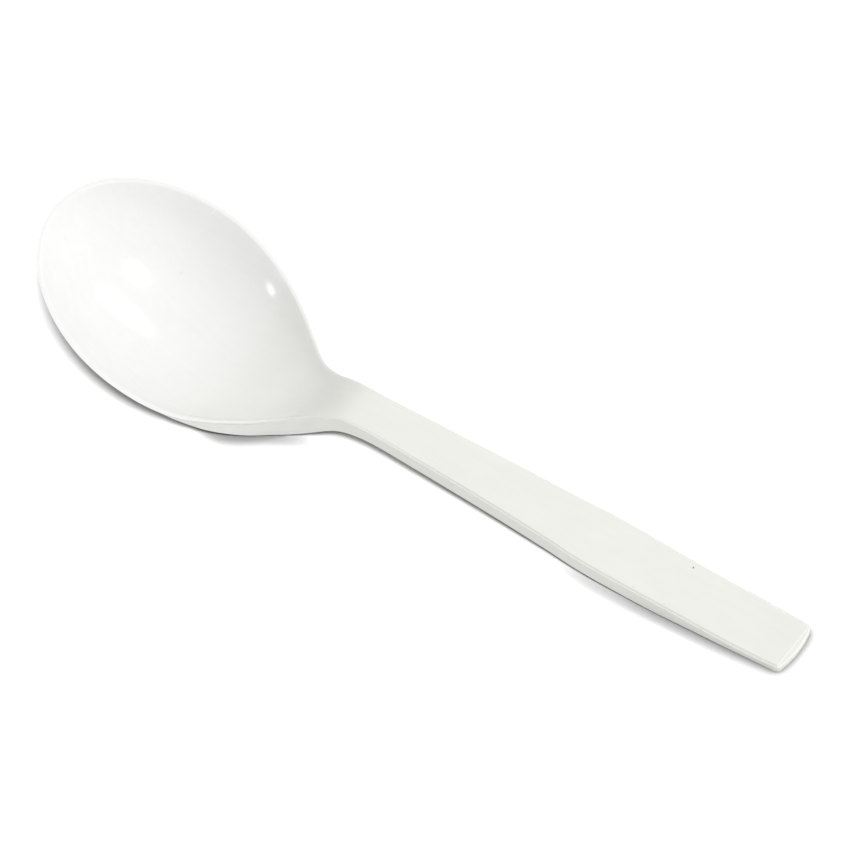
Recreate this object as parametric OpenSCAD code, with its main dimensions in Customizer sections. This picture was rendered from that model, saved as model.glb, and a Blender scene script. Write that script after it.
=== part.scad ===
// Moulded plastic soup spoon, lying on a table on its bowl and the end of its handle.
// +X runs to the handle's end, +Z is up, and the spoon is symmetric about Y = 0.
// The origin is at the bottom centre of the spoon's box.

/* [Overall] */
// Length from the tip of the bowl to the end of the handle
spoon_length = 147.8; // [140:0.1:156]
// Thickness of the moulding
wall = 0.9; // [0.7:0.05:1.2]

/* [Bowl] */
// Width over the rim
bowl_width = 42.5; // [36:0.5:48]
// Length from the widest place of the bowl to its tip
bowl_front = 22.8; // [20:0.1:26]
// Length from the neck to the widest place of the bowl
bowl_back = 38; // [34:0.5:42]
// Depth inside, below the rim at the widest place
bowl_depth = 8.1; // [6:0.1:9]
// Width of the top of the rim
rim_width = 0.8; // [0.6:0.05:1.2]
// Height of the rim band's outer side
rim_height = 0.8; // [0.6:0.05:1.2]
// How far the rim band's outer side leans in below its top
rim_lean = 0.6; // [0.4:0.05:0.8]
// Rise of the rim from its lowest place to the tip
tip_rise = 18.5; // [15:0.1:20]
// Rise of the rim's line from its lowest place back to the neck
neck_rise = 4.1; // [3:0.1:5]
// Depth of the small flat that the bowl rests on
foot_depth = 0.2; // [0.1:0.05:0.3]

/* [Handle] */
// Width over the flanges at the widest place of the grip
grip_width = 12.1; // [10:0.1:14]
// Length of the end wall, beyond the raised panel
end_ledge = 0.95; // [0.7:0.05:1.3]
// Width of the ledge between the raised panel and the flange's side
side_ledge = 0.4; // [0.3:0.05:0.6]
// Height of the raised panel above the ledge
panel_rise = 0.25; // [0.15:0.05:0.4]
// Height of the end wall
end_height = 1.15; // [0.95:0.05:1.5]
// Depth of the flanges along the grip
grip_depth = 2.3; // [1.8:0.1:2.8]
// Depth of the sides where the handle runs into the bowl
neck_depth = 4; // [3.2:0.1:4.1]
// Radius of the corners at the handle's end
corner_radius = 1.1; // [0.8:0.1:1.4]
// How far the middle of the handle's end stands out past its corners
end_bulge = 0.45; // [0.3:0.05:0.6]

/* [Hidden] */

plastic = [0.95, 0.95, 0.93];

// Places along the spoon are measured from the handle's end
neck_at = spoon_length - bowl_front - bowl_back;
widest_at = spoon_length - bowl_front;
corner_at = end_bulge + corner_radius;
joint_share = 0.4;
bowl_joint_at = neck_at + joint_share * bowl_back;

// Numbers of stations along the pieces, and of the bowl's rays and rings
front_rays = 18;
back_rays = 12;
rings = 9;
neck_stations = 14;
corner_stations = 4;
handle_stations = 30;
end_columns = 20;

// Plan outline: shares of the length behind the neck, and of the grip's half width
handle_width_shares = [
    [0, 0.875], [0.12, 0.945], [0.26, 0.965], [0.4, 1], [0.46, 0.985], [0.52, 0.925],
    [0.66, 0.84], [0.82, 0.76], [0.94, 0.705], [1, 0.735]
];
// Shares of the length from the neck to the widest place, and of the growth in half width there
bowl_width_shares = [
    [0.105, 0.046], [0.21, 0.105], [0.315, 0.22], [0.42, 0.414], [0.553, 0.652],
    [0.684, 0.836], [0.842, 0.961], [1, 1]
];
// Exponents of the curve that closes the outline round the tip
tip_along_power = 1.93;
tip_across_power = 2.04;

// Top line: shares of the length behind the neck, and of the rise from the end wall to the neck
handle_height_shares = [
    [0, 0], [0.08, 0.048], [0.287, 0.262], [0.46, 0.462], [0.655, 0.709], [0.874, 0.934], [0.966, 1]
];
// Shares of the bowl's length, and of the fall from the neck to the lowest place of the rim
rim_fall_shares = [[0, 1], [0.033, 0.92], [0.082, 0.66], [0.132, 0.33], [0.18, 0.085], [0.23, 0]];
// Shares of the bowl's length, and of the rise from the lowest place of the rim to the tip
rim_rise_shares = [
    [0.31, 0.04], [0.395, 0.112], [0.48, 0.228], [0.576, 0.374], [0.725, 0.592], [0.87, 0.803], [1, 1]
];

// Depth of the sides: shares of the length behind the neck, and of the way from the end wall's
// height to the grip's depth
flange_depth_shares = [
    [0, 0], [0.075, -0.08], [0.126, 0.1], [0.184, 0.38], [0.241, 0.76], [0.3, 1.02], [0.87, 1], [0.94, 1.03]
];
// Shares of the bowl's back length, and of the way from the grip's depth to the neck's
skirt_in_shares = [[0, 0.35], [0.079, 0.65], [0.158, 0.95], [0.237, 1]];
// Shares of the bowl's back length, and of the way from the rim band's height to the neck's depth
skirt_out_shares = [[0.34, 0.9], [0.45, 0.77], [0.55, 0.52], [0.63, 0.22], [0.71, 0.04]];

// How the depth of the bowl follows its width, and how full its cross sections are
hollow_power = 0.75;
// Share of the bowl's back length over which the handle's panel runs down into the bowl
run_in_share = 0.26;
// Share of it over which the ledge widens to the rim, and the sides take their lean
widen_share = 0.75;

bowl_length = bowl_front + bowl_back;
bowl_half = bowl_width / 2;
grip_half = grip_width / 2;
neck_half = grip_half * handle_width_shares[len(handle_width_shares) - 1][1];

// Slope of a table of points at point i
function slope(t, i) =
    let (a = max(i - 1, 0), b = min(i + 1, len(t) - 1)) (t[b][1] - t[a][1]) / (t[b][0] - t[a][0]);

// Number of the gap of a table that holds x
function gap(t, x, i = 0) = i >= len(t) - 2 || x < t[i + 1][0] ? i : gap(t, x, i + 1);

// Smooth curve through a table of points, a cubic in each gap
function smooth(t, x) =
    let (
        i = gap(t, x),
        h = t[i + 1][0] - t[i][0],
        u = (x - t[i][0]) / h,
        v = 1 - u
    )
    t[i][1] * v * v * (1 + 2 * u) + t[i + 1][1] * u * u * (1 + 2 * v)
        + h * u * v * (slope(t, i) * v - slope(t, i + 1) * u);

// Rises from 0 to 1 with soft ends
function ease(u) = let (c = min(max(u, 0), 1)) c * c * (3 - 2 * c);

// Closing curve of the tip, as a share of the half width
function tip_curve(u) = pow(1 - pow(min(max(u, 0), 1), tip_along_power), 1 / tip_across_power);

// What the round corners take off the half width at the handle's end
function corner_cut(at) =
    corner_radius - sqrt(pow(corner_radius, 2) - pow(min(max(corner_at - at, 0), corner_radius), 2));

after_widest_share = 0.3;
half_width_points = concat(
    [for (s = handle_width_shares) [s[0] * neck_at, s[1] * grip_half]],
    [for (s = bowl_width_shares) [neck_at + s[0] * bowl_back, neck_half + s[1] * (bowl_half - neck_half)]],
    [[widest_at + after_widest_share * bowl_front, bowl_half * tip_curve(after_widest_share)]]
);

// Half width of the outline
function half_width(at) =
    at < widest_at ? smooth(half_width_points, at) - corner_cut(at)
                   : bowl_half * tip_curve((at - widest_at) / bowl_front);

// Half width of a line inside the outline, at an inset that grows from start at the neck to full
function inset_half(at, start, full) =
    at < widest_at
        ? half_width(at) - start - (full - start) * ease((at - neck_at) / (widen_share * bowl_back))
        : (bowl_half - full) * tip_curve((at - widest_at) / (bowl_front - full));
function hollow_half(at) = inset_half(at, side_ledge, rim_width);
function foot_half(at) = inset_half(at, 0, rim_lean);

// Rim line of the bowl, above its lowest place
rim_points = concat(
    [for (s = rim_fall_shares) [neck_at + s[0] * bowl_length, s[1] * neck_rise]],
    [for (s = rim_rise_shares) [neck_at + s[0] * bowl_length, s[1] * tip_rise]]
);

// Share of the handle's panel that has run out, from the neck into the bowl
function run_in(at) = ease((at - neck_at) / (run_in_share * bowl_back));

// Depth of the bowl below the rim on its centre line
function centre_depth(at) =
    bowl_depth * pow(hollow_half(at) / (bowl_half - rim_width), 2 * hollow_power) * run_in(at);

// The rim line is lifted until the bowl rests on the table
lift_steps = 60;
rim_lift = wall - foot_depth - min([
    for (i = [0 : lift_steps])
        let (at = bowl_joint_at + (widest_at - bowl_joint_at) * i / lift_steps)
        smooth(rim_points, at) - centre_depth(at)
]);

top_points = concat(
    [for (s = handle_height_shares)
        [end_ledge + s[0] * (neck_at - end_ledge), end_height + s[1] * (rim_lift + neck_rise - end_height)]],
    [for (p = rim_points) [p[0], p[1] + rim_lift]]
);

// Height of the top line, which the ledges and the rim follow
function top(at) = smooth(top_points, at);

side_points = concat(
    [for (s = flange_depth_shares) [s[0] * neck_at, end_height + s[1] * (grip_depth - end_height)]],
    [for (s = skirt_in_shares) [neck_at + s[0] * bowl_back, grip_depth + s[1] * (neck_depth - grip_depth)]],
    [for (s = skirt_out_shares) [neck_at + s[0] * bowl_back, rim_height + s[1] * (neck_depth - rim_height)]]
);

// Depth of the flanges and of the bowl's sides below the top line
function side_depth(at) = smooth(side_points, min(at, side_points[len(side_points) - 1][0]));

// Height of the upper face in the neck and the bowl, inside the rim
function inside(at, y) =
    let (fullness = max(0, 1 - pow(y / hollow_half(at), 2)))
    top(at) - centre_depth(at) * pow(fullness, hollow_power) + panel_rise * (1 - run_in(at));

// How far the belly hangs below the sides; above them it leaves a channel under the neck
function belly(at) = centre_depth(at) + wall - side_depth(at);

// Height of the outer face under the neck and the bowl
function outside(at, y) =
    let (fullness = max(0, 1 - pow(y / foot_half(at), 2)))
    max(0, top(at) - side_depth(at) - belly(at) * (belly(at) > 0 ? pow(fullness, hollow_power) : 1));

function x_of(at) = spoon_length / 2 - at;

// Two triangles of a four-cornered face, or one where two of its corners are the same point
function quad(a, b, c, d) =
    concat(a == b || b == c ? [] : [[a, b, c]], c == d || d == a ? [] : [[a, c, d]]);

// Lofts sections of an even number of points [y, z] at places along the spoon into one solid. A
// section turns from +Y over the top to -Y, and the places lead away from the handle's end.
module loft(places, sections) {
    n = len(sections[0]);
    last = len(sections) - 1;
    cap = [for (i = [0 : n / 2 - 2]) each quad(i, i + 1, n - i - 2, n - i - 1)];
    polyhedron(
        points = [for (j = [0 : last]) for (p = sections[j]) [x_of(places[j]), p[0], p[1]]],
        faces = concat(
            [for (j = [0 : last - 1]) for (i = [0 : n - 1])
                let (a = j * n + i, b = j * n + (i + 1) % n)
                each quad(a, b, b + n, a + n)],
            [for (t = cap) [t[2], t[1], t[0]]],
            [for (t = cap) t + last * [n, n, n]]
        )
    );
}

// Places of the handle's sections: a few round the corners, then evenly to the neck
handle_places = concat(
    [for (j = [0 : corner_stations - 1]) end_ledge + (corner_at - end_ledge) * j / corner_stations],
    [for (j = [0 : handle_stations]) corner_at + (neck_at - corner_at) * j / handle_stations]
);

module handle_panel() {
    color(plastic)
        loft(handle_places, [
            for (at = handle_places)
                let (w = half_width(at) - wall, z = top(at) + panel_rise, low = max(0, top(at) - wall))
                [[w, low], [w, z], [-w, z], [-w, low]]
        ]);
}

// Section of the +Y flange: the ledge, the step up to the panel, its inner face and its side
function flange_section(at) =
    let (w = half_width(at), z = top(at), low = max(0, z - side_depth(at)))
    [
        [w, z], [w - side_ledge, z], [w - side_ledge, z + panel_rise],
        [w - wall, z + panel_rise], [w - wall, low], [w, low]
    ];

module right_flange() {
    color(plastic)
        loft(handle_places, [for (at = handle_places) flange_section(at)]);
}

module left_flange() {
    color(plastic)
        mirror([0, 1, 0])
            loft(handle_places, [for (at = handle_places) flange_section(at)]);
}

// The end wall closes the channel under the handle; its outer side bulges, with round corners
module end_wall() {
    w = half_width(end_ledge);
    straight = half_width(corner_at) - corner_radius;
    color(plastic)
        linear_extrude(height = end_height)
            polygon(concat(
                [[x_of(end_ledge), -w]],
                [for (j = [1 : end_columns - 1])
                    let (
                        y = -w * cos(180 * j / end_columns),
                        round = min(max(abs(y) - straight, 0), corner_radius),
                        bulge = end_bulge * pow(min(abs(y) / straight, 1), 2)
                    )
                    [x_of(bulge + corner_radius - sqrt(pow(corner_radius, 2) - pow(round, 2))), y]],
                [[x_of(end_ledge), w]]
            ));
}

// Section of the neck: the sides with their lean, the ledges, the panel running down into the bowl,
// and under it the channel between the sides, which the belly fills towards the bowl
neck_columns = 2 * rings;
function neck_section(at) =
    let (
        w = half_width(at),
        h = hollow_half(at),
        f = foot_half(at),
        c = f - wall,
        z = top(at),
        low = z - side_depth(at),
        low_inside = belly(at) > 0 ? outside(at, c) : low
    )
    concat(
        [[f, z - rim_height], [w, z], [h, z]],
        [for (i = [1 : neck_columns - 1]) let (y = h * cos(180 * i / neck_columns)) [y, inside(at, y)]],
        [[-h, z], [-w, z], [-f, z - rim_height], [-f, low], [-c, low_inside]],
        [for (i = [1 : neck_columns - 1]) let (y = -c * cos(180 * i / neck_columns)) [y, outside(at, y)]],
        [[c, low_inside], [f, low]]
    );

module neck() {
    places = [for (j = [0 : neck_stations]) neck_at + (bowl_joint_at - neck_at) * j / neck_stations];
    color(plastic)
        loft(places, [for (at = places) neck_section(at)]);
}

// The bowl is laid out on rays from its centre line to its outline. They stand square to the centre
// line behind the widest place, and fan out from it round the tip.
side_rays = back_rays + front_rays;
last_ray = 2 * side_rays;
function mirrored(i) = min(i, last_ray - i);
function ray_root(i) =
    bowl_joint_at + (widest_at - bowl_joint_at) * min(mirrored(i), back_rays) / back_rays;

// Place [along, across] where ray i meets the outline, or a line inside it
function on_line(i, start, full) =
    let (
        fan = sin(90 * (mirrored(i) - back_rays) / front_rays),
        at = mirrored(i) <= back_rays ? ray_root(i) : widest_at + (bowl_front - full) * fan,
        side = i < side_rays ? 1 : i > side_rays ? -1 : 0
    )
    [at, side * inset_half(at, start, full)];

// Place on ray i at ring k, between its root and its place on a line
function on_ray(i, k, line) =
    let (root = ray_root(i), share = sin(90 * k / rings))
    [root + share * (line[0] - root), share * line[1]];
function inside_point(i, k) =
    let (p = on_ray(i, k, on_line(i, side_ledge, rim_width))) [x_of(p[0]), p[1], inside(p[0], p[1])];
function outside_point(i, k) =
    let (p = on_ray(i, k, on_line(i, 0, rim_lean))) [x_of(p[0]), p[1], outside(p[0], p[1])];

// Place on the outer side of the rim band, from 0 at its top to 1 at its foot
function rim_point(i, share) =
    let (p = on_line(i, 0, share * rim_lean)) [x_of(p[0]), p[1], top(p[0]) - share * rim_height];

// Number of a point in a face of the bowl: the roots come first, then each ray's rings
function point_number(i, k) = k == 0 ? min(mirrored(i), back_rays) : back_rays + 1 + i * rings + k - 1;

// The bowl's points are its inner face, its outer face and the foot of the rim band
module bowl() {
    n = back_rays + 1 + (last_ray + 1) * rings;
    foot = 2 * n;
    color(plastic)
        polyhedron(
            points = concat(
                [for (i = [0 : back_rays]) inside_point(i, 0)],
                [for (i = [0 : last_ray]) for (k = [1 : rings]) inside_point(i, k)],
                [for (i = [0 : back_rays]) outside_point(i, 0)],
                [for (i = [0 : last_ray]) for (k = [1 : rings]) outside_point(i, k)],
                [for (i = [0 : last_ray]) rim_point(i, 1)]
            ),
            faces = concat(
                [for (i = [0 : last_ray - 1]) for (k = [0 : rings - 1])
                    let (
                        a = point_number(i, k),
                        b = point_number(i, k + 1),
                        c = point_number(i + 1, k + 1),
                        d = point_number(i + 1, k)
                    )
                    each concat(quad(a, d, c, b), quad(a + n, b + n, c + n, d + n))],
                [for (i = [0 : last_ray - 1])
                    let (a = point_number(i, rings), b = point_number(i + 1, rings), f = foot + i)
                    each concat(quad(a, b, f + 1, f), quad(f, f + 1, b + n, a + n))],
                [for (k = [0 : rings - 1])
                    let (a = point_number(0, k), b = point_number(0, k + 1))
                    each quad(a, b, b + n, a + n)],
                [for (k = [0 : rings - 1])
                    let (a = point_number(last_ray, k), b = point_number(last_ray, k + 1))
                    each quad(a, a + n, b + n, b)],
                [let (a = point_number(0, rings)) [a, foot, a + n]],
                [let (a = point_number(last_ray, rings)) [a, a + n, foot + last_ray]]
            )
        );
}

// The rim is a three-cornered band round the bowl's mouth, standing on the bowl's upper edge
module bowl_rim() {
    corners = [for (i = [0 : last_ray]) each [rim_point(i, 1), rim_point(i, 0), inside_point(i, rings)]];
    last = 3 * last_ray;
    color(plastic)
        polyhedron(
            points = corners,
            faces = concat(
                [for (i = [0 : last_ray - 1])
                    for (j = [0 : 2])
                        let (a = 3 * i + j, b = 3 * i + (j + 1) % 3)
                        each quad(a, b, b + 3, a + 3)],
                [[2, 1, 0], [last, last + 1, last + 2]]
            )
        );
}

bowl();
bowl_rim();
neck();
handle_panel();
left_flange();
right_flange();
end_wall();
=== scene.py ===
import math

import bmesh
import bpy
import numpy as np
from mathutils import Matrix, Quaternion, Vector


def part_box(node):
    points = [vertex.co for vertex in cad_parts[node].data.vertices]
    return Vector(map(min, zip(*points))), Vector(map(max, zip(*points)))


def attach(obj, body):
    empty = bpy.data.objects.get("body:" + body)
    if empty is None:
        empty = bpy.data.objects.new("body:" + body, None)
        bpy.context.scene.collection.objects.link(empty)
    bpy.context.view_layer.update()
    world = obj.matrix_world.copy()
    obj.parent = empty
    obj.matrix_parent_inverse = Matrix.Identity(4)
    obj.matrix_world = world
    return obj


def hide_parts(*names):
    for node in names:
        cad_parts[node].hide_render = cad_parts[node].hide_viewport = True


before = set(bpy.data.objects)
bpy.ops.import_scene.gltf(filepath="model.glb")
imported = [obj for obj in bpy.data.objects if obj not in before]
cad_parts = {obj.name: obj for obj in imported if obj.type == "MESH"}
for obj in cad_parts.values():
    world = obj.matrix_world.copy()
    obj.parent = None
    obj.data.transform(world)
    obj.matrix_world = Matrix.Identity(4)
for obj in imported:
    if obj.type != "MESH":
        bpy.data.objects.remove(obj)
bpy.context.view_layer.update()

# ---------------------------------------------------------------------------------------------
# The raised panel, the flat top of the handle. The spoon is one injection moulding of white
# polypropylene, so one skin is worked out for all of it, and each section cuts its piece from that.
# The panel stands a quarter of a millimetre above the ledge round it, satin from a blasted mould.

# All sizes are in metres, and places along the spoon are measured from the handle's end.
SPOON_LENGTH = 0.1478
BOWL_FRONT = 0.0228
BOWL_BACK = 0.038
BOWL_HALF = 0.02125
GRIP_HALF = 0.00605
CORNER_RADIUS = 0.0011
END_BULGE = 0.00045
# Powers of the superellipse that closes the tip, and the share of it that guides the width's curve
TIP_ALONG = 1.93
TIP_ACROSS = 2.04
TIP_GUIDE = 0.3

NECK_AT = SPOON_LENGTH - BOWL_FRONT - BOWL_BACK
WIDEST_AT = SPOON_LENGTH - BOWL_FRONT
CORNER_AT = END_BULGE + CORNER_RADIUS

# Half widths, as (share of the length, share of the growth)
HANDLE_WIDTH = [
    (0, 0.875), (0.12, 0.945), (0.26, 0.965), (0.4, 1), (0.46, 0.985), (0.52, 0.925),
    (0.66, 0.84), (0.82, 0.76), (0.94, 0.705), (1, 0.735)]
BOWL_WIDTH = [
    (0.105, 0.046), (0.21, 0.105), (0.315, 0.22), (0.42, 0.414), (0.553, 0.652),
    (0.684, 0.836), (0.842, 0.961), (1, 1)]


def joined(*tables):
    """Scales tables of shares and joins them. Each is (shares, start along, length, base, growth):
    a share s of the length lies at start plus s lengths, and a share t of the growth at base plus
    t growths."""
    rows = [(start + s * length, base + t * growth)
            for shares, start, length, base, growth in tables for s, t in shares]
    return np.array(rows)


def smooth(table, x):
    """Smooth curve through a table's points: in each gap a cubic, whose slope at a point is that of
    the line through the points on both sides of it. With u and v the shares of the gap behind and
    ahead, the value behind counts v squared times 1 + 2u and the one ahead u squared times 1 + 2v.
    The slopes add the gap times u v, times v of the slope behind less u of the one ahead."""
    px, py = table.T
    before = np.maximum(np.arange(len(px)) - 1, 0)
    after = np.minimum(np.arange(len(px)) + 1, len(px) - 1)
    slopes = (py[after] - py[before]) / (px[after] - px[before])
    i = np.clip(np.searchsorted(px, x, side="right") - 1, 0, len(px) - 2)
    h = px[i + 1] - px[i]
    u = (x - px[i]) / h
    v = 1 - u
    ends = py[i] * v * v * (1 + 2 * u) + py[i + 1] * u * u * (1 + 2 * v)
    return ends + h * u * v * (slopes[i] * v - slopes[i + 1] * u)


def tip_curve(u):
    """Closing curve of the tip, as a share of the half width. It is a superellipse quarter: one
    less u to the power TIP_ALONG, and of that the root TIP_ACROSS."""
    return (1 - np.clip(u, 0, 1) ** TIP_ALONG) ** (1 / TIP_ACROSS)


neck_half = GRIP_HALF * HANDLE_WIDTH[-1][1]
width_table = np.vstack([
    joined((HANDLE_WIDTH, 0, NECK_AT, 0, GRIP_HALF),
           (BOWL_WIDTH, NECK_AT, BOWL_BACK, neck_half, BOWL_HALF - neck_half)),
    [(WIDEST_AT + TIP_GUIDE * BOWL_FRONT, BOWL_HALF * tip_curve(TIP_GUIDE))]])


def half_width(at):
    """Half width of the outline at a distance from the handle's end: the table, less what the round
    corners take off, and past the widest place the closing curve."""
    turned = np.clip(CORNER_AT - at, 0, CORNER_RADIUS)
    cut = CORNER_RADIUS - np.sqrt(CORNER_RADIUS ** 2 - turned ** 2)
    return np.where(at < WIDEST_AT, smooth(width_table, at) - cut,
                    BOWL_HALF * tip_curve((at - WIDEST_AT) / BOWL_FRONT))


# Heights of the ledges and the rim. The tip and the neck rise above the rim's lowest place.
TIP_RISE = 0.0185
NECK_RISE = 0.0041
END_HEIGHT = 0.00115
END_LEDGE = 0.00095
HANDLE_HEIGHT = [
    (0, 0), (0.08, 0.048), (0.287, 0.262), (0.46, 0.462), (0.655, 0.709),
    (0.874, 0.934), (0.966, 1)]
RIM_FALL = [(0, 1), (0.033, 0.92), (0.082, 0.66), (0.132, 0.33), (0.18, 0.085), (0.23, 0)]
RIM_RISE = [
    (0.31, 0.04), (0.395, 0.112), (0.48, 0.228), (0.576, 0.374), (0.725, 0.592),
    (0.87, 0.803), (1, 1)]

BOWL_LENGTH = BOWL_FRONT + BOWL_BACK
rim_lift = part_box("bowl_rim")[1][2] - TIP_RISE
neck_height = rim_lift + NECK_RISE
top_table = joined(
    (HANDLE_HEIGHT, END_LEDGE, NECK_AT - END_LEDGE, END_HEIGHT, neck_height - END_HEIGHT),
    (RIM_FALL, NECK_AT, BOWL_LENGTH, rim_lift, NECK_RISE),
    (RIM_RISE, NECK_AT, BOWL_LENGTH, rim_lift, TIP_RISE))


def top(at):
    """Height of the line that the ledges and the rim follow: the curve through its table."""
    return smooth(top_table, at)


# Depths of the flanges and of the skirt that they spread into round the bowl's back
GRIP_DEPTH = 0.0023
NECK_DEPTH = 0.004
RIM_HEIGHT = 0.0008
FLANGE_DEPTH = [
    (0, 0), (0.075, -0.08), (0.126, 0.1), (0.184, 0.38), (0.241, 0.76), (0.3, 1.02),
    (0.87, 1), (0.94, 1.03)]
SKIRT_IN = [(0, 0.35), (0.079, 0.65), (0.158, 0.95), (0.237, 1)]
SKIRT_OUT = [(0.34, 0.9), (0.45, 0.77), (0.55, 0.52), (0.63, 0.22), (0.71, 0.04)]

side_table = joined(
    (FLANGE_DEPTH, 0, NECK_AT, END_HEIGHT, GRIP_DEPTH - END_HEIGHT),
    (SKIRT_IN, NECK_AT, BOWL_BACK, GRIP_DEPTH, NECK_DEPTH - GRIP_DEPTH),
    (SKIRT_OUT, NECK_AT, BOWL_BACK, RIM_HEIGHT, NECK_DEPTH - RIM_HEIGHT))


def side_depth(at):
    """Depth of the flanges and of the bowl's sides below the top line: the curve through its table,
    and past its last point the same as there."""
    return smooth(side_table, np.minimum(at, side_table[-1, 0]))


# Shares of the bowl's back over which insets widen and the panel runs out
WIDEN_SHARE = 0.75
RUN_IN_SHARE = 0.26


def ease(u):
    """Rises from 0 to 1 with soft ends: three squares less two cubes."""
    c = np.clip(u, 0, 1)
    return c * c * (3 - 2 * c)


def inset(at, start, full):
    """Inset of a line inside the outline, which grows from start at the neck to full."""
    return start + (full - start) * ease((at - NECK_AT) / (WIDEN_SHARE * BOWL_BACK))


def inset_half(at, start, full):
    """Half width of that line: the outline's less the inset, and round the tip a smaller closing
    curve."""
    return np.where(at < WIDEST_AT, half_width(at) - inset(at, start, full),
                    (BOWL_HALF - full) * tip_curve((at - WIDEST_AT) / (BOWL_FRONT - full)))


def run_in(at):
    """Share of the panel that has run out: it rises with soft ends from the neck into the bowl."""
    return ease((at - NECK_AT) / (RUN_IN_SHARE * BOWL_BACK))


SIDE_LEDGE = 0.0004
RIM_WIDTH = 0.0008
BOWL_DEPTH = 0.0081
# The power that shapes the hollow, what it gains at the rim, and how close to the rim it gains it
HOLLOW_POWER = 0.75
LIP = 0.25
LIP_POWER = 3
# The least half width that is divided by
NO_WIDTH = 1e-9


def centre_depth(at):
    """Depth of the bowl below its rim on the centre line: the full depth, times the half width's
    share to twice the hollow's power, times the share of the panel that has run out."""
    share = inset_half(at, SIDE_LEDGE, RIM_WIDTH) / (BOWL_HALF - RIM_WIDTH)
    return BOWL_DEPTH * np.maximum(share, 0) ** (2 * HOLLOW_POWER) * run_in(at)


def fullness(y, half, lip=0.0):
    """Base to the power that shapes the bowl, where base is one less the square of the share of the
    half width. Near the rim the power grows by lip, which rounds the wall into the rim."""
    share = (y / np.maximum(half, NO_WIDTH)) ** 2
    return np.maximum(0, 1 - share) ** (HOLLOW_POWER + lip * np.minimum(share, 1) ** LIP_POWER)


# The panel's step, what share of it fades before the neck and over what length. Its edge at the
# handle's end is rounded within STEP_ROUNDING, all but its sharp share.
PANEL_RISE = 0.00025
STEP_FADE = 0.6
STEP_FADE_LENGTH = 0.03
STEP_ROUNDING = 0.00006
STEP_SHARP_SHARE = 0.2


def step(at):
    """Height of the panel above the ledge. It fades with soft ends towards the neck, where it runs
    out, and its end edge is a quarter of an ellipse on a small upright step."""
    edge = np.clip(1 - (at - END_LEDGE) / STEP_ROUNDING, 0, 1)
    rounding = STEP_SHARP_SHARE + (1 - STEP_SHARP_SHARE) * np.sqrt(1 - edge ** 2)
    fading = 1 - STEP_FADE * ease(1 - (NECK_AT - at) / STEP_FADE_LENGTH)
    return PANEL_RISE * (1 - run_in(at)) * rounding * fading


def inside(at, y):
    """Height of the upper face inside the rim: the top line and the step, less the bowl's depth
    times its fullness."""
    half = inset_half(at, SIDE_LEDGE, RIM_WIDTH)
    return top(at) + step(at) - centre_depth(at) * fullness(y, half, LIP)


WALL = 0.0009
RIM_LEAN = 0.0006


def belly(at):
    """How far the belly hangs below the sides: the bowl's depth and the wall, less the depth of the
    sides. Where it is less than nothing, it leaves a channel between them."""
    return centre_depth(at) + WALL - side_depth(at)


def outside(at, y):
    """Height of the outer face underneath: the sides' foot less the belly times its fullness, and
    flat where it would pass through the floor."""
    hang = belly(at)
    full = np.where(hang > 0, fullness(y, inset_half(at, 0, RIM_LEAN)), 1)
    return np.maximum(0, top(at) - side_depth(at) - hang * full)


# Where an arc has its points. The two pairs close to the ends keep the shading the same on both
# sides of a joint between pieces.
ARC = np.array([0, 0.03, 0.17, 0.34, 0.5, 0.66, 0.83, 0.97, 1])
# The most of a side that an arc takes up, and the least length and fold that are divided by
ARC_SHARE = 0.45
NO_LENGTH = 1e-12
NO_FOLD = 1e-6


def softened(corners, radii):
    """Rounds a chain of corners, an array (rays, corners, 3). Each inner corner becomes a parabola
    that touches both of its sides at radius times the tangent of half the turn: its start times the
    square of 1 - u, twice the corner times u and 1 - u, and its end times the square of u."""
    before = corners[:, :-2] - corners[:, 1:-1]
    after = corners[:, 2:] - corners[:, 1:-1]
    room = [np.linalg.norm(v, axis=2, keepdims=True) for v in (before, after)]
    unit = [v / np.maximum(r, NO_LENGTH) for v, r in zip((before, after), room)]
    cosine = np.clip(-(unit[0] * unit[1]).sum(2, keepdims=True), -1, 1)
    half_turn = np.sqrt((1 - cosine) / np.maximum(1 + cosine, NO_FOLD))
    reach = np.minimum(np.asarray(radii)[None, :, None] * half_turn, ARC_SHARE * np.minimum(*room))
    u = ARC[None, None, :, None]
    start = (corners[:, 1:-1] + unit[0] * reach)[:, :, None]
    end = (corners[:, 1:-1] + unit[1] * reach)[:, :, None]
    arcs = start * (1 - u) ** 2 + 2 * corners[:, 1:-1][:, :, None] * u * (1 - u) + end * u ** 2
    arcs = arcs.reshape(len(corners), -1, 3)
    return np.concatenate([corners[:, :1], arcs, corners[:, -1:]], axis=1)


# Points from the centre line to the edge, above and below
INNER = 40
# How far in from the ledge the upper face starts to turn, and how much further in the bowl
LIP_START = 0.0003
LIP_REACH = 0.0006
# Where the foot of the step stands, as a share of the ledge's width, on the handle and in the bowl
STEP_FOOT = 0.65
RIM_STEP_FOOT = 0.15
# How far in from the sides the lower face starts to turn, how wide the fillet between them is, and
# over what hang of the belly that fillet opens
ARCH_START = 0.0009
CHANNEL_FILLET = 0.00045
SWELL_HANG = 0.001
# Radii at the panel's edge, the step's foot, the outline, the rim's underside, the outer and inner
# edge of the sides' foot, and the channel's corner
EDGE_RADII = [0.0009, 0.0002, 0.0002, 0.0004, 0.0002, 0.0002, 0.0003]


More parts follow.
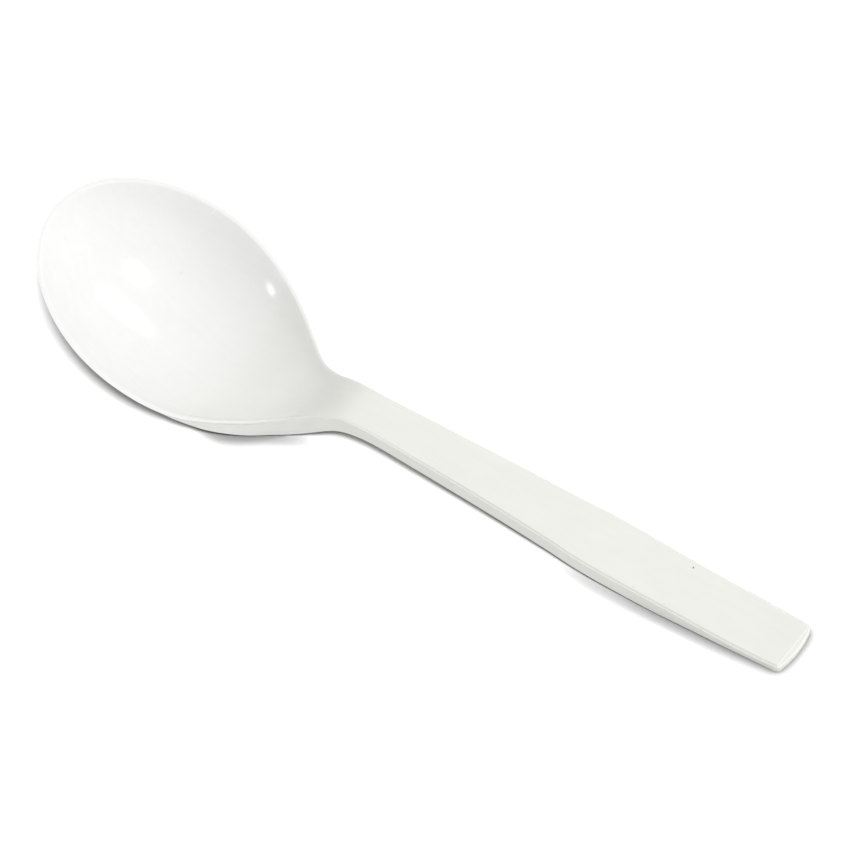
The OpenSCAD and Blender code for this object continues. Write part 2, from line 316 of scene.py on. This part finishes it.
def skin(root, rim, out):
    """Skin of the moulding along rays from the centre line to the outline, over its edge and back
    underneath, as an array (rays, points, 3). root, rim and out are the ray's start, its place on
    the outline and the direction in which its insets run, all as (along, across). The upper and the
    lower face have their points at the sines of even angles, closest together at the edge."""
    at = rim[:, 0]
    ledge = inset(at, SIDE_LEDGE, RIM_WIDTH)
    lean = inset(at, 0, RIM_LEAN)
    gone = run_in(at)
    swell = ease(belly(at) / SWELL_HANG)
    drop = np.minimum(RIM_HEIGHT, side_depth(at) / 2)

    def place(e):
        """Plan of the line at inset e from the outline."""
        return rim - e[:, None] * out

    def point(p, height):
        """Plan p with its height, which is an array or a function of the plan."""
        z = height(p[..., 0], p[..., 1]) if callable(height) else height
        return np.concatenate([p, np.asarray(z)[..., None]], axis=-1)

    edge = place(ledge + WALL - SIDE_LEDGE + LIP_REACH * gone)
    shares = np.sin(np.linspace(0, math.pi / 2, INNER + 1))
    upper = point(root[:, None] + shares[None, :, None] * (edge - root)[:, None], inside)
    under_edge = place(lean + WALL + ARCH_START)
    lower = point(root[:, None] + shares[None, ::-1, None] * (under_edge - root)[:, None], outside)
    inner_foot = place(lean + WALL)
    channel = place(lean + WALL + CHANNEL_FILLET * swell)
    foot = place(lean)
    step_foot = place(ledge * (STEP_FOOT - (STEP_FOOT - RIM_STEP_FOOT) * gone))
    hip = place(lean * drop / RIM_HEIGHT)
    hollow_edge = place(ledge)
    low = np.maximum(0, top(foot[:, 0]) - side_depth(foot[:, 0]))
    hangs = belly(inner_foot[:, 0]) > 0
    corners = np.stack([
        point(place(ledge + LIP_START + LIP_REACH * gone), inside),
        point(hollow_edge, top(hollow_edge[:, 0]) + step(hollow_edge[:, 0])),
        point(step_foot, top(step_foot[:, 0])),
        point(rim, top(at)),
        point(hip, top(hip[:, 0]) - drop),
        point(foot, low),
        point(inner_foot, np.where(hangs, outside(inner_foot[:, 0], inner_foot[:, 1]), low)),
        point(channel, outside),
        lower[:, 0]], axis=1)
    return np.concatenate([upper, softened(corners, EDGE_RADII), lower[:, 1:]], axis=1)


def straight_rays(at):
    """Rays that stand square to the centre line and reach the outline at its half width."""
    zero = np.zeros_like(at)
    root = np.stack([at, zero], axis=1)
    rim = np.stack([at, half_width(at)], axis=1)
    return root, rim, np.stack([zero, zero + 1], axis=1)


def placed(points, side=1):
    """Turns (along, across, height) into the spoon's frame: x is half of the spoon's length less
    along, and y is across on the side given."""
    x = SPOON_LENGTH / 2 - points[..., 0]
    return np.stack([x, side * points[..., 1], points[..., 2]], axis=-1)


def both_sides(points):
    """The half towards +Y and its mirror towards -Y."""
    return [placed(points), placed(points, -1)]


# Points closer than this are merged, edges shorter than this go, and those over this angle stay
# sharp
WELD = 1e-7
SLIVER = 1e-8
SHARP_ANGLE = 50


def closed_piece(name, sheets):
    """One closed mesh from sheets, which are grids of points that share their edges: each cell of
    a grid is a face, points that meet are merged, and the flat ends are filled."""
    verts, faces, count = [], [], 0
    for sheet in sheets:
        rows, columns = sheet.shape[:2]
        number = count + np.arange(rows * columns).reshape(rows, columns)
        quads = np.stack([
            number[:-1, :-1], number[1:, :-1], number[1:, 1:], number[:-1, 1:]], axis=-1)
        faces.append(quads.reshape(-1, 4))
        verts.append(sheet.reshape(-1, 3))
        count += rows * columns
    mesh = bpy.data.meshes.new(name)
    mesh.from_pydata(np.concatenate(verts).tolist(), [], np.concatenate(faces).tolist())
    shape = bmesh.new()
    shape.from_mesh(mesh)
    bmesh.ops.remove_doubles(shape, verts=shape.verts, dist=WELD)
    bmesh.ops.dissolve_degenerate(shape, edges=shape.edges, dist=SLIVER)
    rims = [e for e in shape.edges if e.is_boundary]
    bmesh.ops.holes_fill(shape, edges=rims, sides=0)
    bmesh.ops.recalc_face_normals(shape, faces=shape.faces)
    shape.to_mesh(mesh)
    shape.free()
    mesh.polygons.foreach_set("use_smooth", [True] * len(mesh.polygons))
    mesh.set_sharp_from_angle(angle=math.radians(SHARP_ANGLE))
    piece = bpy.data.objects.new(name, mesh)
    bpy.context.scene.collection.objects.link(piece)
    return piece


# Rings across the handle: the first ones in millimetres past the end ledge, where the step's edge
# and the corners turn, then evenly spaced ones, and two close together at each joint, which keep
# the shading whole over it
FIRST_RINGS = [0, 0.01, 0.03, 0.06, 0.1, 0.14, 0.18, 0.22, 0.3, 0.38, 0.46, 0.54, 0.6, 0.7, 0.9]
HANDLE_RINGS = 150
CLOSE_RINGS = 2e-5

# Where the panel meets the flanges: the numbers of a ring's points above and below
PANEL_EDGE = INNER
CHANNEL_EDGE = INNER + 2 + 6 * len(ARC)

first_at = END_LEDGE + np.array(FIRST_RINGS) / 1000
handle_at = np.concatenate([
    first_at, np.linspace(first_at[-1], NECK_AT, HANDLE_RINGS)[1:-1],
    [NECK_AT - CLOSE_RINGS, NECK_AT]])
handle = skin(*straight_rays(handle_at))
panel_sheets = []
for side in both_sides(handle):
    panel_sheets += [
        side[:, :PANEL_EDGE + 1], side[:, CHANNEL_EDGE:], side[:, [PANEL_EDGE, CHANNEL_EDGE]]]
panel = closed_piece("handle_panel_skin", panel_sheets)


def wired(tree, kind, values=(), **settings):
    """A new node with its settings, and its inputs set or linked by name or number."""
    node = tree.nodes.new(kind)
    for name, value in settings.items():
        setattr(node, name, value)
    for key, value in dict(values).items():
        if isinstance(value, bpy.types.NodeSocket):
            tree.links.new(value, node.inputs[key])
        else:
            node.inputs[key].default_value = value
    return node


def noise(tree, place, scale, detail=2.0):
    """Noise whose features are about one over scale metres across, from 0 to 1."""
    return wired(tree, "ShaderNodeTexNoise", {
        "Vector": place, "Scale": scale, "Detail": detail}).outputs["Fac"]


def ranged(tree, value, low, high, start, end):
    """Maps low to start and high to end in a straight line, and holds it there outside them."""
    return wired(tree, "ShaderNodeMapRange", {
        "Value": value, "From Min": low, "From Max": high,
        "To Min": start, "To Max": end}).outputs["Result"]


def sum_of(tree, first, second):
    """The sum of two numbers or sockets."""
    return wired(tree, "ShaderNodeMath", {0: first, 1: second}, operation="ADD").outputs["Value"]


# A speck is full within the first share of its half sizes and gone at the second
SPECK_CORE = 0.6
SPECK_EDGE = 1.1


def speck(tree, place, centre, size, turn=0.0):
    """1 in a small ellipsoid round a point, fading to 0 at its edge."""
    local = wired(tree, "ShaderNodeMapping", {
        "Vector": place, "Location": centre, "Rotation": (0, 0, turn),
        "Scale": size}, vector_type="TEXTURE")
    reach = wired(tree, "ShaderNodeVectorMath", {
        0: local.outputs["Vector"]}, operation="LENGTH").outputs["Value"]
    return ranged(tree, reach, SPECK_CORE, SPECK_EDGE, 1, 0)


def blended(tree, share, first, second, colour=False):
    """first where share is 0 and second where it is 1; both may be numbers, colours or sockets."""
    kind, a, b, out = ("RGBA", 6, 7, 2) if colour else ("FLOAT", 2, 3, 0)
    mix = wired(tree, "ShaderNodeMix", {0: share, a: first, b: second}, data_type=kind)
    return mix.outputs[out]


# Each pair is what the patches and streaks mix
GLOSSY_COLOUR = ((0.838, 0.842, 0.833, 1), (0.818, 0.82, 0.809, 1))
SATIN_COLOUR = ((0.84, 0.845, 0.795, 1), (0.82, 0.825, 0.775, 1))
GLOSSY_ROUGHNESS = (0.09, 0.14)
SATIN_ROUGHNESS = (0.21, 0.26)
PLASTIC_IOR = 1.49
# Where the satin finish and the warmer tint begin, and where both are full, along X
SATIN_FROM = SPOON_LENGTH / 2 - NECK_AT - 0.012
SATIN_FULL = SPOON_LENGTH / 2 - NECK_AT - 0.0015
WARM_FROM = SPOON_LENGTH / 2 - WIDEST_AT
# Patches and streaks: how many in a metre, how far the streaks are drawn out along X, and between
# which ends of their noise they change
CLOUDS = 110
STREAKS = 900
STREAK_STRETCH = (0.12, 1, 1)
CLOUDY_ENDS = (0.75, 1.25)
STREAK_ENDS = (0.3, 0.7)
GRAIN_SIZE = 0.0006
GRAIN_DEPTH = 0.000004
GLOSSY_GRAIN_SHARE = 0.3
WAVE_SIZE = 0.01
WAVE_DEPTH = 0.00001
DARK_SPECK = (0.2, 0.18, 0.14, 1)
FAINT_SPECK = (0.6, 0.59, 0.53, 1)
CLOUDED_SPECK = (0.785, 0.79, 0.765, 1)
SCUFF = (0.885, 0.89, 0.865, 1)
# centre, half sizes, turn about Z, colour
MARKS = [
    ((0.051, 0.0043, 0.0031), (0.00015, 0.00024, 0.001), 0.4, DARK_SPECK),
    ((0.0452, -0.0051, 0.0037), (0.00012, 0.00012, 0.001), 0, FAINT_SPECK),
    ((0.0511, -0.0051, 0.0031), (0.00012, 0.00012, 0.001), 0, FAINT_SPECK),
    ((-0.0553, 0.0093, 0.0081), (0.0002, 0.0006, 0.001), -0.3, CLOUDED_SPECK),
    ((-0.0554, 0.0195, 0.0139), (0.00012, 0.0008, 0.002), -0.4, SCUFF)]


def moulded_polypropylene(name):
    """White polypropylene. Soft cloudy patches and faint streaks along the flow tint it, and the
    streaks also vary its gloss. The bowl is glossy from a polished mould and the handle satin from
    a blasted one, which meet in the neck. Two bumps are the mould's grain and the shallow waves of
    a thin wall that sinks as it cools. The marks are specks of burnt resin and one scuff."""
    material = bpy.data.materials.new(name)
    material.use_nodes = True
    tree = material.node_tree
    shader = tree.nodes["Principled BSDF"]
    shader.inputs["IOR"].default_value = PLASTIC_IOR
    place = wired(tree, "ShaderNodeTexCoord").outputs["Object"]
    along = wired(tree, "ShaderNodeSeparateXYZ", {0: place}).outputs["X"]
    satin_share = ranged(tree, along, SATIN_FROM, SATIN_FULL, 0, 1)
    warm_share = ranged(tree, along, WARM_FROM, SATIN_FULL, 0, 1)
    drawn_out = wired(tree, "ShaderNodeMapping", {"Vector": place, "Scale": STREAK_STRETCH})
    cloud = noise(tree, place, CLOUDS)
    flow = noise(tree, drawn_out.outputs["Vector"], STREAKS, detail=3)
    cloudy = ranged(tree, sum_of(tree, cloud, flow), *CLOUDY_ENDS, 0, 1)
    shade = blended(tree, warm_share, blended(tree, cloudy, *GLOSSY_COLOUR, colour=True),
                    blended(tree, cloudy, *SATIN_COLOUR, colour=True), colour=True)
    for centre, size, turn, ink in MARKS:
        shade = blended(tree, speck(tree, place, centre, size, turn), shade, ink, colour=True)
    tree.links.new(shade, shader.inputs["Base Color"])
    roughness = blended(
        tree, satin_share, ranged(tree, flow, *STREAK_ENDS, *GLOSSY_ROUGHNESS),
        ranged(tree, flow, *STREAK_ENDS, *SATIN_ROUGHNESS))
    tree.links.new(roughness, shader.inputs["Roughness"])
    waves = wired(tree, "ShaderNodeBump", {
        "Height": noise(tree, place, 1 / WAVE_SIZE, detail=0),
        "Distance": WAVE_DEPTH, "Strength": 1.0})
    grain = wired(tree, "ShaderNodeBump", {
        "Height": noise(tree, place, 1 / GRAIN_SIZE, detail=4), "Distance": GRAIN_DEPTH,
        "Strength": ranged(tree, satin_share, 0, 1, GLOSSY_GRAIN_SHARE, 1),
        "Normal": waves.outputs["Normal"]})
    tree.links.new(grain.outputs["Normal"], shader.inputs["Normal"])
    return material


plastic = moulded_polypropylene("white_polypropylene")
panel.data.materials.append(plastic)
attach(panel, "root")
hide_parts("handle_panel")

# ---------------------------------------------------------------------------------------------
# The two flanges, the side walls of the handle with their narrow ledges. They are moulded in one
# with the panel. They are deepest at the neck and get shallow towards the handle's end.

for name, side in (("right_flange", 1), ("left_flange", -1)):
    wall = placed(handle, side)
    flange = closed_piece(
        name + "_skin", [wall[:, PANEL_EDGE:CHANNEL_EDGE + 1], wall[:, [CHANNEL_EDGE, PANEL_EDGE]]])
    flange.data.materials.append(plastic)
    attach(flange, "root")
    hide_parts(name)

# ---------------------------------------------------------------------------------------------
# The end wall closes the channel under the handle, moulded in one with the panel and the flanges.
# Its outer face bulges a little and turns into the flanges with round corners.

CORNER_POINTS = 25
FACE_POINTS = 20
# Radii at the upper and the lower edge, and how far in the lower one stands, as a share
END_RADII = [0.00045, 0.0001]
END_LEAN = 0.00002

end_half = half_width(np.array([END_LEDGE]))[0]
corner_half = half_width(np.array([CORNER_AT]))[0] - CORNER_RADIUS
turn_start = math.asin((CORNER_AT - END_LEDGE) / CORNER_RADIUS)


def end_outline():
    """Plan of the end from the +Y flange to the -Y one, as (along, across): a quarter arc's rest at
    each corner, and between them a parabola that bulges outwards."""
    turn = np.linspace(turn_start, math.pi / 2, CORNER_POINTS)
    arc = np.stack([
        CORNER_AT - CORNER_RADIUS * np.sin(turn),
        corner_half + CORNER_RADIUS * np.cos(turn)], axis=1)
    across = np.linspace(corner_half, 0, FACE_POINTS)[1:]
    face = np.stack([END_BULGE * (across / corner_half) ** 2, across], axis=1)
    half = np.concatenate([arc, face])
    return np.concatenate([half, half[-2::-1] * (1, -1)])


# The outline ends on the flanges' edges, and the points inside the wall follow it at even shares
end_rim = end_outline()
end_rim[:, 0] = np.minimum(end_rim[:, 0], END_LEDGE)
end_rim[[0, -1]] = [(END_LEDGE, end_half), (END_LEDGE, -end_half)]
travelled = np.concatenate([[0], np.cumsum(np.linalg.norm(np.diff(end_rim, axis=0), axis=1))])
end_root = np.stack([
    np.full(len(end_rim), END_LEDGE),
    (end_half - SIDE_LEDGE) * (1 - 2 * travelled / travelled[-1])], axis=1)


def with_height(plan, z):
    """The plan's points, all at height z."""
    return np.concatenate([plan, np.full((len(plan), 1), z)], axis=1)


lean_in = end_rim + END_LEAN * (end_root - end_rim)
end_corners = np.stack([
    with_height(end_root, END_HEIGHT), with_height(end_rim, END_HEIGHT),
    with_height(lean_in, 0), with_height(end_root, 0)], axis=1)
end_skin = softened(end_corners, END_RADII)
end_wall = closed_piece("end_wall_skin", [placed(end_skin), placed(end_skin[:, [0, -1]])])
end_wall.data.materials.append(plastic)
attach(end_wall, "root")
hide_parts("end_wall")

# ---------------------------------------------------------------------------------------------
# The neck, the bend between handle and bowl. The panel's step runs out here and the flanges spread
# into the bowl's sides, all in the one moulding, and the mould's finish turns from satin to glossy.

NECK_RINGS = 70
BOWL_JOINT_SHARE = 0.4
BOWL_JOINT_AT = NECK_AT + BOWL_JOINT_SHARE * BOWL_BACK

neck_at = np.concatenate([
    [NECK_AT, NECK_AT + CLOSE_RINGS], np.linspace(NECK_AT, BOWL_JOINT_AT, NECK_RINGS)[1:-1],
    [BOWL_JOINT_AT - CLOSE_RINGS, BOWL_JOINT_AT]])
neck = closed_piece("neck_skin", both_sides(skin(*straight_rays(neck_at))))
neck.data.materials.append(plastic)
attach(neck, "root")
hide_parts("neck")

# ---------------------------------------------------------------------------------------------
# The bowl, a thin curved wall that is moulded in one with the neck. It is deepest behind the widest
# place, and both of its faces are glossy from a polished mould.

BACK_RINGS = 80
TIP_RAYS = 111
# Where the bowl meets the rim band: the numbers of a ring's points inside and underneath
RIM_INSIDE = INNER + 2
RIM_FOOT = INNER + 2 + 3 * len(ARC)


def fan_rays(turns):
    """Rays that fan out from the widest place round the tip. For turns from 0 to 1, a ray ends on
    the closing curve at the sine of that share of a right angle."""
    fan = np.sin(math.pi / 2 * turns)
    out = np.stack([fan, tip_curve(fan)], axis=1)
    out[turns >= 1, 1] = 0
    root = np.tile([WIDEST_AT, 0.0], (len(turns), 1))
    return root, root + out * (BOWL_FRONT, BOWL_HALF), out


back_at = np.concatenate([
    [BOWL_JOINT_AT, BOWL_JOINT_AT + CLOSE_RINGS],
    np.linspace(BOWL_JOINT_AT, WIDEST_AT, BACK_RINGS)[1:]])
tip_rays = fan_rays(np.linspace(0, 1, TIP_RAYS)[1:])
bowl_skin = skin(*[np.concatenate(parts) for parts in zip(straight_rays(back_at), tip_rays)])
bowl_sheets = []
for side in both_sides(bowl_skin):
    bowl_sheets += [side[:, :RIM_INSIDE + 1], side[:, RIM_FOOT:], side[:, [RIM_INSIDE, RIM_FOOT]]]
bowl = closed_piece("bowl_skin", bowl_sheets)
bowl.data.materials.append(plastic)
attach(bowl, "root")
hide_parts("bowl")

# ---------------------------------------------------------------------------------------------
# The rim band round the bowl's mouth, the thicker edge that stiffens the thin wall. It is moulded
# in one with the bowl, and its edges are rounded for the lips.

rim_sheets = []
for side in both_sides(bowl_skin):
    rim_sheets += [side[:, RIM_INSIDE:RIM_FOOT + 1], side[:, [RIM_FOOT, RIM_INSIDE]]]
rim = closed_piece("bowl_rim_skin", rim_sheets)
rim.data.materials.append(plastic)
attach(rim, "root")
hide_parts("bowl_rim")

# ---------------------------------------------------------------------------------------------
# The floor is matt white paper, which runs out of sight. To the camera and in reflections it is a
# little paler than to the light that it sends back up to the spoon. Where the spoon stands close
# over it, a painted contact shadow darkens the paper's colour, and with the shadow lamp's real
# shadow it makes the narrow shadow that hugs the spoon.

FLOOR_HALF = 3
# The share of light that the paper sends back, to the camera and up to the spoon
PAPER = 0.4
PAPER_BOUNCE = 0.31
# How far round a point of the floor cover is looked for, the open share at which the painted
# contact shadow is darkest, and what is left of the paper's colour there
COVER_REACH = 0.0025
OPEN_SHARE = 0.6
PAINTED_SHADOW_DARKEST = 0.35
COVER_SAMPLES = 6

floor_mesh = bpy.data.meshes.new("floor")
floor_corners = FLOOR_HALF * np.array([(-1, -1, 0), (1, -1, 0), (1, 1, 0), (-1, 1, 0)])
floor_mesh.from_pydata(floor_corners.tolist(), [], [(0, 1, 2, 3)])
floor = bpy.data.objects.new("floor", floor_mesh)
bpy.context.scene.collection.objects.link(floor)


def seen(tree):
    """1 for what the camera sees by itself, in a reflection or through glass, 0 for other light."""
    path = wired(tree, "ShaderNodeLightPath").outputs
    mirrored = sum_of(tree, path["Is Glossy Ray"], path["Is Transmission Ray"])
    return wired(tree, "ShaderNodeMath", {
        0: path["Is Camera Ray"], 1: mirrored}, operation="ADD", use_clamp=True).outputs["Value"]


paper = bpy.data.materials.new("matt_paper")
paper.use_nodes = True
tree = paper.node_tree
tree.nodes.clear()
# Painted contact shadow: ambient occlusion darkens the paper's colour where the spoon stands close
# over it
cover = wired(tree, "ShaderNodeAmbientOcclusion", {"Distance": COVER_REACH}, samples=COVER_SAMPLES)
painted_contact_shadow = ranged(tree, cover.outputs["AO"], OPEN_SHARE, 1, PAINTED_SHADOW_DARKEST, 1)
reflectance = wired(tree, "ShaderNodeMath", {
    0: ranged(tree, seen(tree), 0, 1, PAPER_BOUNCE, PAPER),
    1: painted_contact_shadow}, operation="MULTIPLY").outputs["Value"]
matt = wired(tree, "ShaderNodeBsdfDiffuse", {
    "Color": blended(tree, reflectance, (0, 0, 0, 1), (1, 1, 1, 1), colour=True)})
wired(tree, "ShaderNodeOutputMaterial", {"Surface": matt.outputs["BSDF"]})
floor_mesh.materials.append(paper)

# ---------------------------------------------------------------------------------------------
# The studio: a white tent round the spoon, bright above and most at the right-hand back side. Two
# softboxes stand there and show in the bowl, and a small lamp in front gives the glint at its back.
# The shadow lamp, near the camera, lights only the floor, and the spoon's shadow falls there.

# The tent's strength below, what it gains straight up, and what it gains at its bright side
TENT_FILL = 0.14
TENT_TOP = 0.84
TENT_SIDE = 1.2
# Places of lights are (azimuth, elevation) in degrees
TENT_SIDE_AT = (112, 0)
SHADOW_LAMP_AT = (36, 53.5)
SHADOW_SOFTNESS = 7.5
SHADOW_STRENGTH = 8.0
LAMP_AWAY = 2.0
# Lamps: name, azimuth, elevation, width, height and roll in degrees, and radiance, where a white
# background is 1
LAMPS = [
    ("wide_softbox", 125.5, 46.5, 8, 12, 50, 2.6),
    ("narrow_softbox", 152, 37.5, 12, 20, -28, 1.45),
    ("glint_lamp", -21.5, 49.5, 5, 8, -24, 9.0)]


def towards(azimuth, elevation):
    """Direction to a light: azimuth 0 is -Y and 90 is +X, and elevation runs up from the floor."""
    a, e = math.radians(azimuth), math.radians(elevation)
    return Vector((math.cos(e) * math.sin(a), -math.cos(e) * math.cos(a), math.sin(e)))


world = bpy.data.worlds.new("studio")
world.use_nodes = True
tree = world.node_tree
tent = tree.nodes["Background"]
tent.inputs["Color"].default_value = (1, 1, 1, 1)
looking = wired(tree, "ShaderNodeTexCoord").outputs["Generated"]
upward = wired(tree, "ShaderNodeSeparateXYZ", {0: looking}).outputs["Z"]
sideward = wired(tree, "ShaderNodeVectorMath", {
    0: looking, 1: towards(*TENT_SIDE_AT)}, operation="DOT_PRODUCT").outputs["Value"]
overhead = ranged(tree, upward, 0, 1, TENT_FILL, TENT_FILL + TENT_TOP)
cloth = sum_of(tree, ranged(tree, sideward, 0, 1, 0, TENT_SIDE), overhead)
light = wired(tree, "ShaderNodeMath", {0: cloth, 1: seen(tree)}, operation="MAXIMUM")
tree.links.new(light.outputs["Value"], tent.inputs["Strength"])
bpy.context.scene.world = world

shadow_light = bpy.data.lights.new("shadow_lamp", "SUN")
shadow_light.angle = math.radians(SHADOW_SOFTNESS)
shadow_light.energy = SHADOW_STRENGTH
shadow_lamp = bpy.data.objects.new("shadow_lamp", shadow_light)
shadow_lamp.rotation_euler = towards(*SHADOW_LAMP_AT).to_track_quat("Z", "Y").to_euler()
bpy.context.scene.collection.objects.link(shadow_lamp)
lit_floor = bpy.data.collections.new("lit_by_shadow_lamp")
lit_floor.objects.link(floor)
shadow_lamp.light_linking.receiver_collection = lit_floor

for name, azimuth, elevation, wide, high, roll, radiance in LAMPS:
    lamp = bpy.data.lights.new(name, "AREA")
    lamp.shape = "ELLIPSE"
    lamp.size = 2 * LAMP_AWAY * math.tan(math.radians(wide / 2))
    lamp.size_y = 2 * LAMP_AWAY * math.tan(math.radians(high / 2))
    # A flat lamp gives off its radiance times pi times its area, which is that of an ellipse here
    area = math.pi / 4 * lamp.size * lamp.size_y
    lamp.energy = radiance * math.pi * area
    softbox = bpy.data.objects.new(name, lamp)
    softbox.location = LAMP_AWAY * towards(azimuth, elevation)
    facing = softbox.location.to_track_quat("Z", "Y")
    softbox.rotation_euler = (facing @ Quaternion((0, 0, 1), math.radians(roll))).to_euler()
    bpy.context.scene.collection.objects.link(softbox)

# ---------------------------------------------------------------------------------------------
# The camera looks down at the spoon from the front and the right, through a long lens. Its place
# and direction are those that bring the handle and the bowl's outline to the photo's places.

PHOTO_SIDE = 850
FOCAL_PIXELS = 6500
SENSOR_WIDTH = 36
CAMERA_ELEVATION = 48
CAMERA_AZIMUTH = 33.157
CAMERA_PLACE = (0.398358, -0.608682, 0.819349)
FARTHEST_SEEN = 20

camera_data = bpy.data.cameras.new("camera")
camera_data.sensor_width = SENSOR_WIDTH
camera_data.lens = FOCAL_PIXELS / PHOTO_SIDE * SENSOR_WIDTH
camera_data.clip_end = FARTHEST_SEEN
camera = bpy.data.objects.new("camera", camera_data)
camera.location = CAMERA_PLACE
camera.rotation_euler = (
    math.pi / 2 - math.radians(CAMERA_ELEVATION), 0, math.radians(CAMERA_AZIMUTH))
bpy.context.scene.collection.objects.link(camera)
bpy.context.scene.camera = camera
bpy.context.scene.view_settings.view_transform = "Standard"
